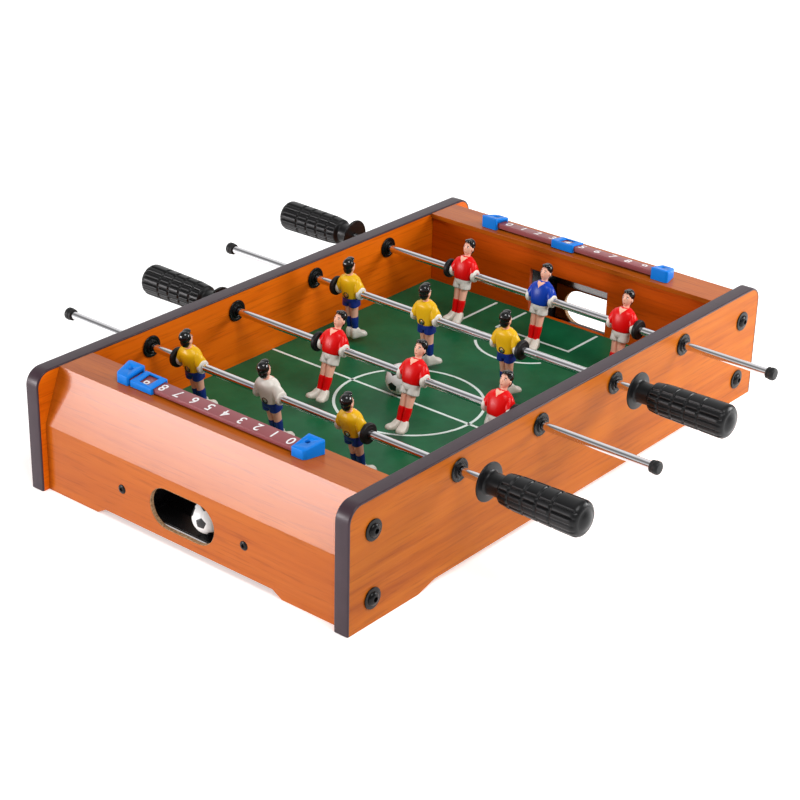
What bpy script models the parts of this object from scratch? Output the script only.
"""Tabletop foosball table: open wooden cabinet, four playing rods, twelve
figures, two slide counters and two balls.

Metres, +Z up.  The table's length runs along X and its rods along Y.  The
origin is on the surface the cabinet stands on, in the middle of the table.
"""
import math

import bmesh
import bpy
from mathutils import Matrix, Vector

MM = 0.001
FIT = 0.3 * MM                 # clearance between pieces that touch

# Cabinet
LENGTH = 508 * MM
WIDTH = 313 * MM
PANEL_HEIGHT = 96 * MM
PANEL_THICK = 12 * MM
CORNER_RADIUS = 12.5 * MM
INNER_Y = WIDTH / 2 - PANEL_THICK
ARCH_HEIGHT = 4.9 * MM
SIDE_FOOT_X = 181 * MM         # inner end of the flat foot under a side panel
SIDE_ARCH_X = 163 * MM         # where the side arch reaches its full height
END_FOOT_Y = 91.5 * MM
END_ARCH_Y = 83 * MM

# End covers, goal walls and goals
COVER_X = 248.3 * MM           # outer face
COVER_THICK = 4 * MM
SLOPE_FOOT_Z = 54 * MM
SLOPE_TOP_X = 232.3 * MM
BOARD_TOP_Z = 95.8 * MM
BOARD_EDGE_X = 199.9 * MM
WALL_X = 201.7 * MM            # goal wall, face towards the field
WALL_THICK = 4 * MM
COVER_FOLD = 2.8 * MM          # inner corner of the fold, back from the outer one
COVER_BEND = 0.8 * MM
GOAL_SHIFT = 3.8 * MM          # each goal sits off centre, to its own left
HOLE_Z = 29 * MM
HOLE_RADIUS = 16.2 * MM
HOLE_HALF = 32 * MM            # half the length of the ball return hole
MOUTH_HALF = 40 * MM
MOUTH_TOP_Z = 73 * MM
FIELD_Z = 33.5 * MM
FIELD_THICK = 3 * MM
BOX_WALL = 1.5 * MM
BOX_KNEE_X = 226 * MM          # where the chute reaches its level floor
BOX_KNEE_TOP_Z = 62 * MM
BOX_END_TOP_Z = 46.5 * MM
CUT_THROUGH = 5 * MM           # how far cutters stand proud of what they cut

# Rods and what they carry; distances along a rod run from its middle figure,
# positive towards its handle
ROD_Z = 81 * MM
ROD_RADIUS = 3.2 * MM
BORE = 3.45 * MM
ROD_CAP_END = 217 * MM
ROD_HANDLE_END = 277 * MM
FIGURE_PITCH = 80 * MM
BUMPER_IN = 93 * MM
BUMPER_OUT = 97 * MM
BUMPER_RADIUS = 8 * MM
HANDLE_START = 201.5 * MM
HANDLE_LENGTH = 83 * MM
HANDLE_GROOVES = (24.6 * MM, 36.1 * MM, 47.6 * MM, 59.1 * MM)
CAP_START = 212 * MM
CAP_END = 219 * MM
BUSH_BARREL = 5.0 * MM
BUSH_HOLE = BUSH_BARREL + FIT
BUSH_FLANGE = 9.0 * MM
BUSH_HUB = 5.0 * MM

# One entry per rod: x, sideways shift at rest, handle side, figure tilt in
# degrees (positive leans the heads towards +X), facing, middle and outer kits
RODS = (
    (-140.5 * MM, 20 * MM, -1, -14, 1, "keeper_white", "kit_yellow"),
    (-46.8 * MM, -39 * MM, 1, 20, -1, "kit_red", "kit_red"),
    (46.8 * MM, 25 * MM, -1, -5, 1, "kit_yellow", "kit_yellow"),
    (140.5 * MM, -20 * MM, 1, 13, -1, "keeper_blue", "kit_red"),
)

BALL_RADIUS = 12.5 * MM
FIELD_BALL = Vector((1 * MM, 12 * MM, FIELD_Z + FIT + BALL_RADIUS))
GOAL_FLOOR_Z = 15 * MM
GOAL_BALL = Vector((-233.5 * MM, -9 * MM, GOAL_FLOOR_Z + FIT + BALL_RADIUS))

# Slide counters
COUNTER_X = 213.8 * MM
COUNTER_SHIFT = 2.6 * MM       # strips and mounts sit this far towards their 9 ends
STRIP_HALF_LENGTH = 86 * MM
STRIP_WIDTH = 12 * MM
STRIP_LOW = 1.6 * MM
STRIP_HIGH = 5.2 * MM
COUNTER_LEAN = 0.0215 / MM      # share of its height a top gains per metre inwards
MOUNT_START = 79.6 * MM
MOUNT_WIDTH = 18 * MM
MOUNT_HEIGHT = 8.6 * MM
MOUNT_BEVEL = 0.8 * MM
# A mount's free end, as (towards the field, past the inner end)
MOUNT_END_OUTLINE = ((9 * MM, 14.5 * MM), (7.5 * MM, 16 * MM),
                     (-7 * MM, 12.5 * MM), (-9 * MM, 10.5 * MM))
MARKER_WIDTH = 16.5 * MM
MARKER_LENGTH = 22 * MM
MARKER_LOW = 0.7 * MM
WINDOW_HALF_WIDTH = 5.2 * MM
WINDOW_HALF_LENGTH = 4.6 * MM
MARKER_HIGH = 6.5 * MM
DIGIT_PITCH = 15.4 * MM
MIDDLE_DIGIT = 4.5             # the strip's middle, counted in digits
MARKER_DIGITS = (9, 4)         # digit shown in the window at -X and at +X

# name: (colour, roughness, metallic)
FINISHES = {
    "orange_laminate": ((0.76, 0.26, 0.06), 0.35, 0.0),
    "deep_laminate": ((0.60, 0.17, 0.02), 0.40, 0.0),
    "green_field": ((0.02, 0.12, 0.05), 0.35, 0.0),
    "black_plastic": ((0.012, 0.012, 0.014), 0.35, 0.0),
    "black_rubber": ((0.015, 0.015, 0.016), 0.65, 0.0),
    "chrome": ((0.80, 0.80, 0.82), 0.12, 1.0),
    "maroon_plastic": ((0.30, 0.05, 0.06), 0.35, 0.0),
    "blue_plastic": ((0.02, 0.20, 0.72), 0.30, 0.0),
    "kit_yellow": ((0.85, 0.68, 0.04), 0.40, 0.0),
    "keeper_white": ((0.85, 0.83, 0.76), 0.40, 0.0),
    "kit_red": ((0.75, 0.02, 0.02), 0.40, 0.0),
    "keeper_blue": ((0.02, 0.10, 0.65), 0.40, 0.0),
    "white_ball": ((0.85, 0.85, 0.83), 0.35, 0.0),
}


# ------------------------------------------------------------------ helpers

def clear_scene():
    for old in list(bpy.data.objects):
        bpy.data.objects.remove(old, do_unlink=True)


def make_materials():
    made = {}
    for name, (colour, roughness, metallic) in FINISHES.items():
        material = bpy.data.materials.new(name)
        material.use_nodes = True
        shader = material.node_tree.nodes["Principled BSDF"]
        shader.inputs["Base Color"].default_value = (*colour, 1.0)
        shader.inputs["Roughness"].default_value = roughness
        shader.inputs["Metallic"].default_value = metallic
        material.diffuse_color = (*colour, 1.0)
        made[name] = material
    return made


def mesh_from(name, bm, smooth_angle=None):
    """Turn a bmesh into mesh data with outward faces."""
    bmesh.ops.recalc_face_normals(bm, faces=bm.faces)
    if smooth_angle is not None:
        limit = math.radians(smooth_angle)
        for face in bm.faces:
            face.smooth = True
        for edge in bm.edges:
            if len(edge.link_faces) == 2 and edge.calc_face_angle() > limit:
                edge.smooth = False
    mesh = bpy.data.meshes.new(name)
    bm.to_mesh(mesh)
    bm.free()
    return mesh


def add(name, mesh, material=None, location=(0, 0, 0)):
    obj = bpy.data.objects.new(name, mesh)
    bpy.context.collection.objects.link(obj)
    obj.location = location
    if material:
        obj.data.materials.append(material)
    return obj


def empty(name, location, rotation=(0, 0, 0)):
    obj = bpy.data.objects.new(name, None)
    bpy.context.collection.objects.link(obj)
    obj.location = location
    obj.rotation_euler = rotation
    return obj


def box(bm, low, high):
    size = Vector(high) - Vector(low)
    middle = (Vector(high) + Vector(low)) / 2
    matrix = Matrix.Translation(middle) @ Matrix.Diagonal((*size, 1))
    return bmesh.ops.create_cube(bm, size=1, matrix=matrix)["verts"]


def prism(bm, outline, low, high, axis):
    """Extrude a closed outline along one axis.

    The outline's points are (x, z) for axis "Y", (y, z) for axis "X" and
    (x, y) for axis "Z".
    """
    def place(u, v, along):
        if axis == "Y":
            return (u, along, v)
        if axis == "X":
            return (along, u, v)
        return (u, v, along)

    start = [bm.verts.new(place(u, v, low)) for u, v in outline]
    end = [bm.verts.new(place(u, v, high)) for u, v in outline]
    bm.faces.new(start)
    bm.faces.new(reversed(end))
    for i in range(len(outline)):
        j = (i + 1) % len(outline)
        bm.faces.new((start[j], start[i], end[i], end[j]))


def revolve(bm, profile, segments, closed=False, axis="Y"):
    """Spin (radius, along) points round an axis; a zero radius is a pole."""
    rings = []
    for radius, along in profile:
        if radius == 0:
            point = (0, along, 0) if axis == "Y" else (along, 0, 0)
            rings.append([bm.verts.new(point)])
            continue
        ring = []
        for i in range(segments):
            turn = 2 * math.pi * i / segments
            u = radius * math.cos(turn)
            v = radius * math.sin(turn)
            point = (u, along, v) if axis == "Y" else (along, u, v)
            ring.append(bm.verts.new(point))
        rings.append(ring)
    skin_rings(bm, rings, closed)


def skin_rings(bm, rings, closed=False):
    """Join neighbouring vertex rings; a ring of one vertex is a pole."""
    pairs = list(zip(rings, rings[1:]))
    if closed:
        pairs.append((rings[-1], rings[0]))
    for first, second in pairs:
        count = max(len(first), len(second))
        for i in range(count):
            j = (i + 1) % count
            if len(first) == 1:
                bm.faces.new((first[0], second[j], second[i]))
            elif len(second) == 1:
                bm.faces.new((first[i], first[j], second[0]))
            else:
                bm.faces.new((first[i], first[j], second[j], second[i]))


def arc(centre, radius, start, stop, steps):
    points = []
    for i in range(steps + 1):
        turn = math.radians(start + (stop - start) * i / steps)
        points.append((centre[0] + radius * math.cos(turn),
                       centre[1] + radius * math.sin(turn)))
    return points


def cutter(name, bm, target, operation="DIFFERENCE"):
    """Hidden tool object that a live Boolean takes from (or adds to) target."""
    tool = add(name, mesh_from(name, bm))
    tool.hide_render = True
    tool.display_type = "WIRE"
    modifier = target.modifiers.new(name, "BOOLEAN")
    modifier.operation = operation
    modifier.solver = "EXACT"
    modifier.object = tool
    return tool


# ------------------------------------------------------------------ cabinet

def side_panel(name, side, material):
    """Laminated board with rounded top corners, an arch and four rod holes."""
    half = LENGTH / 2
    top = PANEL_HEIGHT - CORNER_RADIUS
    outline = [(-half, 0), (-SIDE_FOOT_X, 0), (-SIDE_ARCH_X, ARCH_HEIGHT),
               (SIDE_ARCH_X, ARCH_HEIGHT), (SIDE_FOOT_X, 0), (half, 0)]
    outline += arc((half - CORNER_RADIUS, top), CORNER_RADIUS, 0, 90, 6)
    outline += arc((-half + CORNER_RADIUS, top), CORNER_RADIUS, 90, 180, 6)
    bm = bmesh.new()
    prism(bm, outline, side * INNER_Y, side * WIDTH / 2, "Y")
    panel = add(name, mesh_from(name, bm), material)
    holes = bmesh.new()
    for rod_x, *_ in RODS:
        before = len(holes.verts)
        revolve(holes, [(0, -PANEL_THICK), (BUSH_HOLE, -PANEL_THICK),
                        (BUSH_HOLE, PANEL_THICK), (0, PANEL_THICK)], 16)
        holes.verts.ensure_lookup_table()
        middle = Vector((rod_x, side * (WIDTH - PANEL_THICK) / 2, ROD_Z))
        bmesh.ops.translate(holes, vec=middle, verts=holes.verts[before:])
    cutter(name + "_rod_holes", holes, panel)
    return panel


def end_cover(name, side, material):
    """Folded cover: outer wall, slope and flat top board, on two feet."""
    z_in = BOARD_TOP_Z - COVER_THICK
    x_in = COVER_X - COVER_THICK
    outline = [(COVER_X, 0), (COVER_X, SLOPE_FOOT_Z),
               (SLOPE_TOP_X, BOARD_TOP_Z), (BOARD_EDGE_X, BOARD_TOP_Z),
               (BOARD_EDGE_X, z_in), (SLOPE_TOP_X - COVER_FOLD, z_in),
               (x_in, SLOPE_FOOT_Z - COVER_BEND), (x_in, 0)]
    outline = [(side * x, z) for x, z in outline]
    reach = INNER_Y - FIT
    bm = bmesh.new()
    prism(bm, outline, -reach, reach, "Y")
    cover = add(name, mesh_from(name, bm), material)
    depths = (side * (x_in - CUT_THROUGH), side * (COVER_X + CUT_THROUGH))
    arch = bmesh.new()
    prism(arch, [(-END_FOOT_Y - 1 * MM, -CUT_THROUGH), (-END_FOOT_Y, 0),
                 (-END_ARCH_Y, ARCH_HEIGHT), (END_ARCH_Y, ARCH_HEIGHT),
                 (END_FOOT_Y, 0), (END_FOOT_Y + 1 * MM, -CUT_THROUGH)],
          *depths, "X")
    cutter(name + "_arch", arch, cover)
    middle = -side * GOAL_SHIFT
    straight = HOLE_HALF - HOLE_RADIUS
    hole = bmesh.new()
    ends = arc((middle + straight, HOLE_Z), HOLE_RADIUS, -90, 90, 10)
    ends += arc((middle - straight, HOLE_Z), HOLE_RADIUS, 90, 270, 10)
    prism(hole, ends, *depths, "X")
    cutter(name + "_ball_hole", hole, cover)
    return cover


def goal_wall(name, side, material):
    """Upright board behind each goal line with the goal mouth cut out."""
    x_near = side * WALL_X
    x_far = side * (WALL_X + WALL_THICK)
    low_x, high_x = sorted((x_near, x_far))
    reach = INNER_Y - FIT
    bm = bmesh.new()
    box(bm, (low_x, -reach, ARCH_HEIGHT),
        (high_x, reach, BOARD_TOP_Z - COVER_THICK - FIT))
    wall = add(name, mesh_from(name, bm), material)
    middle = -side * GOAL_SHIFT
    mouth = bmesh.new()
    box(mouth, (low_x - CUT_THROUGH, middle - MOUTH_HALF, FIELD_Z),
        (high_x + CUT_THROUGH, middle + MOUTH_HALF, MOUTH_TOP_Z))
    cutter(name + "_mouth", mouth, wall)
    return wall


def goal_box(name, side, material):
    """Moulded chute from the goal mouth down to the ball return hole."""
    middle = -side * GOAL_SHIFT
    stations = (
        (WALL_X + WALL_THICK + FIT, FIELD_Z, MOUTH_TOP_Z),
        (BOX_KNEE_X, GOAL_FLOOR_Z, BOX_KNEE_TOP_Z),
        (COVER_X - COVER_THICK - FIT, GOAL_FLOOR_Z, BOX_END_TOP_Z),
    )
    bm = bmesh.new()
    rings = []
    for grow in (0, BOX_WALL):
        loops = []
        left, right = middle - MOUTH_HALF - grow, middle + MOUTH_HALF + grow
        for x, low, high in stations:
            corners = ((left, low - grow), (right, low - grow),
                       (right, high + grow), (left, high + grow))
            loops.append([bm.verts.new((side * x, y, z)) for y, z in corners])
        rings += loops if grow else loops[::-1]
    skin_rings(bm, rings, closed=True)
    return add(name, mesh_from(name, bm), material)


def field_board(name, material):
    reach = INNER_Y - FIT
    end = WALL_X - FIT
    bm = bmesh.new()
    box(bm, (-end, -reach, FIELD_Z - FIELD_THICK), (end, reach, FIELD_Z))
    return add(name, mesh_from(name, bm), material)


# ------------------------------------------------- bushings and rod pieces

def bushing_mesh():
    """Spool that lines a rod hole: flange and raised hub on both faces."""
    near = PANEL_THICK / 2 + FIT
    flange = near + 1.2 * MM
    hub = near + 2.2 * MM
    half = [(BUSH_BARREL, near), (BUSH_FLANGE, near),
            (BUSH_FLANGE - 0.4 * MM, flange), (BUSH_HUB, flange),
            (BUSH_HUB - 0.2 * MM, hub), (BORE + 0.05 * MM, hub)]
    profile = half + [(r, -along) for r, along in reversed(half)]
    bm = bmesh.new()
    revolve(bm, profile, 16, closed=True)
    return mesh_from("bushing", bm, 30)


def rod_mesh():
    bevel = 0.4 * MM
    bm = bmesh.new()
    revolve(bm, [(0, -ROD_CAP_END), (ROD_RADIUS - bevel, -ROD_CAP_END),
                 (ROD_RADIUS, -ROD_CAP_END + bevel),
                 (ROD_RADIUS, ROD_HANDLE_END - bevel),
                 (ROD_RADIUS - bevel, ROD_HANDLE_END), (0, ROD_HANDLE_END)],
            16)
    return mesh_from("rod", bm, 30)


def bumper_mesh():
    """Round rubber stop, centred on the origin."""
    half = (BUMPER_OUT - BUMPER_IN) / 2
    edge = 0.6 * MM
    bm = bmesh.new()
    revolve(bm, [(BORE, -half), (BUMPER_RADIUS - edge, -half),
                 (BUMPER_RADIUS, -half + edge), (BUMPER_RADIUS, half - edge),
                 (BUMPER_RADIUS - edge, half), (BORE, half)],
            16, closed=True)
    return mesh_from("bumper", bm, 30)


def cap_mesh():
    """Rubber cap pressed over the rod's plain end, open towards the rod."""
    depth = ROD_CAP_END + FIT
    bm = bmesh.new()
    revolve(bm, [(0, -depth), (BORE, -depth), (BORE, -CAP_START),
                 (4.6 * MM, -CAP_START), (4.6 * MM, -CAP_START - 1.5 * MM),
                 (5.0 * MM, -CAP_START - 2.2 * MM),
                 (4.8 * MM, -CAP_END + 0.8 * MM),
                 (3.8 * MM, -CAP_END), (0, -CAP_END)], 12)
    return mesh_from("end_cap", bm, 30)


def handle_mesh():
    """Grip with a collar, a neck, ten flutes and four ring grooves."""
    segments = 20
    groove_half = 1.2 * MM
    groove_depth = 1.0 * MM
    flute_depth = 0.9 * MM
    start = HANDLE_START
    end = start + HANDLE_LENGTH
    bore_end = ROD_HANDLE_END + FIT
    smooth = [(0, bore_end), (BORE, bore_end), (BORE, start),
              (13.6 * MM, start), (14.6 * MM, start + 0.9 * MM),
              (14.2 * MM, start + 2.4 * MM), (8.4 * MM, start + 4.0 * MM),
              (8.0 * MM, start + 14.8 * MM), (11.0 * MM, start + 16.2 * MM)]
    fluted = []
    for i, groove in enumerate(HANDLE_GROOVES):
        swell = (12.2 + 0.3 * i) * MM
        fluted += [(swell, start + groove - groove_half),
                   (swell - groove_depth, start + groove),
                   (swell, start + groove + groove_half)]
    fluted.append((13.1 * MM, end - 12.5 * MM))
    dome = [(12.6 * MM, end - 6.5 * MM), (9.5 * MM, end - 1.4 * MM), (0, end)]
    bm = bmesh.new()
    rings = []
    for radius, along in smooth + fluted + dome:
        if radius == 0:
            rings.append([bm.verts.new((0, along, 0))])
            continue
        ring = []
        for i in range(segments):
            sink = flute_depth if (radius, along) in fluted and i % 2 else 0
            turn = 2 * math.pi * i / segments
            ring.append(bm.verts.new(((radius - sink) * math.cos(turn), along,
                                      (radius - sink) * math.sin(turn))))
        rings.append(ring)
    skin_rings(bm, rings)
    return mesh_from("handle", bm, 50)


# ------------------------------------------------------------------ figures

# Cross-sections from sock to crown: height, back, front, half width
FIGURE_SECTIONS = (
    (-41.0, -2.2, 4.4, 5.2),
    (-33.0, -3.0, 4.0, 5.0),
    (-23.5, -3.6, 4.0, 5.5),
    (-13.3, -4.0, 4.4, 6.0),
    (-13.0, -5.4, 5.8, 7.8),
    (-5.0, -5.8, 6.2, 7.4),
    (8.0, -6.2, 7.2, 9.2),
    (12.4, -5.4, 6.0, 8.2),
    (14.4, -3.2, 3.4, 3.6),
    (16.2, -3.8, 4.6, 4.2),
    (21.0, -5.2, 5.4, 5.3),
    (26.5, -5.2, 4.8, 5.1),
    (29.8, -2.6, 2.2, 2.8),
)
RING_POINTS = 10


def figure_ring(bm, height, back, front, half_width):
    """One squarish oval cross-section of the figure."""
    ring = []
    for i in range(RING_POINTS):
        turn = 2 * math.pi * i / RING_POINTS
        cos, sin = math.cos(turn), math.sin(turn)
        x = math.copysign(abs(cos) ** 0.75, cos)
        y = math.copysign(abs(sin) ** 0.75, sin)
        middle = (front + back) / 2
        ring.append(bm.verts.new((
            (middle + x * (front - back) / 2) * MM,
            y * half_width * MM, height * MM)))
    return ring


def boot(bm, side):
    """Wedge boot pointing forwards and a little outwards."""
    outline = [(-2.8, -43.2), (9.0, -43.6), (10.4, -41.8), (9.0, -38.6),
               (5.2, -35.2), (3.8, -32.4), (-2.4, -32.4), (-3.2, -38.0)]
    before = len(bm.verts)
    prism(bm, [(x * MM, z * MM) for x, z in outline],
          -3.4 * MM, 3.4 * MM, "Y")
    bm.verts.ensure_lookup_table()
    fresh = bm.verts[before:]
    splay = Matrix.Rotation(math.radians(20 * side), 4, "Z")
    bmesh.ops.transform(bm, matrix=splay, verts=fresh)
    bmesh.ops.translate(bm, vec=(0, side * 3.3 * MM, 0), verts=fresh)


def sleeve(bm, side):
    """Short sleeve running from the shoulder down to the rod."""
    shoulder = Vector((0.3, 6.4 * side, 10.0)) * MM
    cuff = Vector((0.1, 8.0 * side, 1.4)) * MM
    length = (cuff - shoulder).length
    revolve(bm, [(0, 0), (3.4 * MM, 0), (4.5 * MM, length), (0, length)], 10)
    turn = (cuff - shoulder).to_track_quat("Y", "X").to_matrix().to_4x4()
    bmesh.ops.transform(bm, matrix=Matrix.Translation(shoulder) @ turn,
                        verts=bm.verts)


def figure_mesh(name):
    """Moulded player, upright and facing +X, bored for its rod along Y."""
    bm = bmesh.new()
    rings = [figure_ring(bm, *section) for section in FIGURE_SECTIONS]
    skin_rings(bm, rings)
    bm.faces.new(rings[0])
    bm.faces.new(rings[-1])
    body = add(name + "_body", mesh_from(name, bm))

    cuffs = bmesh.new()
    revolve(cuffs, [(0, -12.5 * MM), (4.6 * MM, -12.5 * MM),
                    (5.2 * MM, -12.0 * MM), (5.2 * MM, 12.0 * MM),
                    (4.6 * MM, 12.5 * MM), (0, 12.5 * MM)], 12)
    tools = [cutter(name + "_cuffs", cuffs, body, "UNION")]
    for side in (1, -1):
        for shape in (sleeve, boot):
            extra = bmesh.new()
            shape(extra, side)
            label = f"{name}_{shape.__name__}_{side}"
            tools.append(cutter(label, extra, body, "UNION"))
    bore = bmesh.new()
    revolve(bore, [(0, -20 * MM), (BORE, -20 * MM), (BORE, 20 * MM),
                   (0, 20 * MM)], 12)
    tools.append(cutter(name + "_bore", bore, body))

    shape = bpy.context.evaluated_depsgraph_get()
    finished = bpy.data.meshes.new_from_object(body.evaluated_get(shape))
    for tool in tools + [body]:
        bpy.data.objects.remove(tool, do_unlink=True)
    joined = bmesh.new()
    joined.from_mesh(finished)
    bmesh.ops.remove_doubles(joined, verts=joined.verts, dist=0.01 * MM)
    bpy.data.meshes.remove(finished)
    return mesh_from(name, joined, 40)


def build_rod(number, spec, meshes, materials):
    """One rod with its figures, bumpers, handle and cap, on a turned empty."""
    x, shift, handle_side, tilt, facing, keeper, kit = spec
    axle = empty(f"rod_{number}_axle", (x, shift, ROD_Z),
                 (0, math.radians(tilt), 0))
    turn_round = 0 if handle_side > 0 else math.pi

    def hang(name, mesh, material, along, spin):
        obj = add(name, mesh.copy(), material)
        obj.parent = axle
        obj.location = (0, along * handle_side, 0)
        obj.rotation_euler = (0, 0, spin)
        return obj

    hang(f"rod_{number}", meshes["rod"], materials["chrome"], 0, turn_round)
    hang(f"handle_{number}", meshes["handle"], materials["black_plastic"],
         0, turn_round)
    hang(f"end_cap_{number}", meshes["cap"], materials["black_rubber"],
         0, turn_round)
    middle = (BUMPER_IN + BUMPER_OUT) / 2
    hang(f"bumper_{number}_handle", meshes["bumper"],
         materials["black_rubber"], middle, 0)
    hang(f"bumper_{number}_cap", meshes["bumper"],
         materials["black_rubber"], -middle, 0)
    look = 0 if facing > 0 else math.pi
    for index, along in enumerate((-FIGURE_PITCH, 0, FIGURE_PITCH)):
        colour = keeper if along == 0 else kit
        figure = add(f"player_{number}_{index + 1}", meshes["figure"].copy(),
                     materials[colour])
        figure.parent = axle
        figure.location = (0, along, 0)
        figure.rotation_euler = (0, 0, look)


# ----------------------------------------------------------------- counters

def lean(bm, side):
    """Tilt the top of a counter's piece so that it rises towards the field."""
    for vertex in bm.verts:
        vertex.co.z *= 1 - side * COUNTER_LEAN * vertex.co.x


def strip_mount(name, material, side, end):
    """Block that holds one end of a counter's strip."""
    half = MOUNT_WIDTH / 2
    top_z = FIT + MOUNT_HEIGHT
    outline = [(-side * across, end * (MOUNT_START + along))
               for across, along in ((-half, 0), (half, 0), *MOUNT_END_OUTLINE)]
    bm = bmesh.new()
    prism(bm, outline, FIT, top_z, "Z")
    rim = [edge for edge in bm.edges
           if all(v.co.z > top_z / 2 for v in edge.verts)]
    bmesh.ops.bevel(bm, geom=rim, offset=MOUNT_BEVEL, segments=2,
                    affect="EDGES", profile=0.5)
    lean(bm, side)
    place = (side * COUNTER_X, -side * COUNTER_SHIFT, BOARD_TOP_Z)
    block = add(name, mesh_from(name, bm), material, place)
    pocket = bmesh.new()
    near, far = sorted((end * (MOUNT_START - 2 * MM),
                        end * (STRIP_HALF_LENGTH + FIT)))
    box(pocket, (-STRIP_WIDTH / 2 - FIT, near, STRIP_LOW - FIT),
        (STRIP_WIDTH / 2 + FIT, far, STRIP_HIGH + FIT))
    lean(pocket, side)
    cutter(name + "_pocket", pocket, block).location = place


def counter(side, materials):
    """Numbered strip on two mounts with a marker that slides along it."""
    tag = "near" if side < 0 else "far"
    bar = bmesh.new()
    box(bar, (-STRIP_WIDTH / 2, -STRIP_HALF_LENGTH, STRIP_LOW),
        (STRIP_WIDTH / 2, STRIP_HALF_LENGTH, STRIP_HIGH))
    lean(bar, side)
    add(f"score_strip_{tag}", mesh_from("score_strip", bar),
        materials["maroon_plastic"], (side * COUNTER_X, -side * COUNTER_SHIFT, BOARD_TOP_Z))
    strip_mount(f"strip_mount_{tag}_left", materials["blue_plastic"], side, -1)
    strip_mount(f"strip_mount_{tag}_right", materials["blue_plastic"], side, 1)

    digit = MARKER_DIGITS[0 if side < 0 else 1]
    marker_y = -side * (digit - MIDDLE_DIGIT) * DIGIT_PITCH
    body = bmesh.new()
    box(body, (-MARKER_WIDTH / 2, -MARKER_LENGTH / 2, MARKER_LOW),
        (MARKER_WIDTH / 2, MARKER_LENGTH / 2, MARKER_HIGH))
    rim = [edge for edge in body.edges
           if all(v.co.z > MARKER_HIGH / 2 for v in edge.verts)]
    bmesh.ops.bevel(body, geom=rim, offset=MOUNT_BEVEL, segments=2,
                    affect="EDGES", profile=0.5)
    lean(body, side)
    place = (side * COUNTER_X, marker_y, BOARD_TOP_Z)
    marker = add(f"score_marker_{tag}", mesh_from("score_marker", body),
                 materials["blue_plastic"], place)
    slot = bmesh.new()
    box(slot, (-STRIP_WIDTH / 2 - FIT, -MARKER_LENGTH, STRIP_LOW - FIT),
        (STRIP_WIDTH / 2 + FIT, MARKER_LENGTH, STRIP_HIGH + FIT))
    lean(slot, side)
    cutter(marker.name + "_slot", slot, marker).location = place
    window = bmesh.new()
    box(window, (-WINDOW_HALF_WIDTH, -WINDOW_HALF_LENGTH, STRIP_LOW),
        (WINDOW_HALF_WIDTH, WINDOW_HALF_LENGTH, MARKER_HIGH + CUT_THROUGH))
    cutter(marker.name + "_window", window, marker).location = place


def ball(name, place, material):
    bm = bmesh.new()
    bmesh.ops.create_icosphere(bm, subdivisions=3, radius=BALL_RADIUS)
    return add(name, mesh_from(name, bm, 60), material, place)


# ----------------------------------------------------------------- assembly

def main():
    clear_scene()
    materials = make_materials()
    wood = materials["orange_laminate"]
    inner_wood = materials["deep_laminate"]
    black = materials["black_plastic"]

    side_panel("side_panel_front", -1, wood)
    side_panel("side_panel_back", 1, wood)
    field_board("field_board", materials["green_field"])
    for tag, side in (("near", -1), ("far", 1)):
        end_cover(f"end_cover_{tag}", side, wood)
        goal_wall(f"goal_wall_{tag}", side, inner_wood)
        goal_box(f"goal_box_{tag}", side, black)
        counter(side, materials)

    bushing = bushing_mesh()
    bushing.materials.append(black)
    panel_middle = (WIDTH - PANEL_THICK) / 2
    for number, (rod_x, *_) in enumerate(RODS, 1):
        for tag, side in (("front", -1), ("back", 1)):
            add(f"bushing_{number}_{tag}", bushing, None,
                (rod_x, side * panel_middle, ROD_Z))

    meshes = {"rod": rod_mesh(), "handle": handle_mesh(),
              "cap": cap_mesh(), "bumper": bumper_mesh(),
              "figure": figure_mesh("figure")}
    for number, spec in enumerate(RODS, 1):
        build_rod(number, spec, meshes, materials)

    ball("field_ball", FIELD_BALL, materials["white_ball"])
    ball("goal_ball", GOAL_BALL, materials["white_ball"])


main()
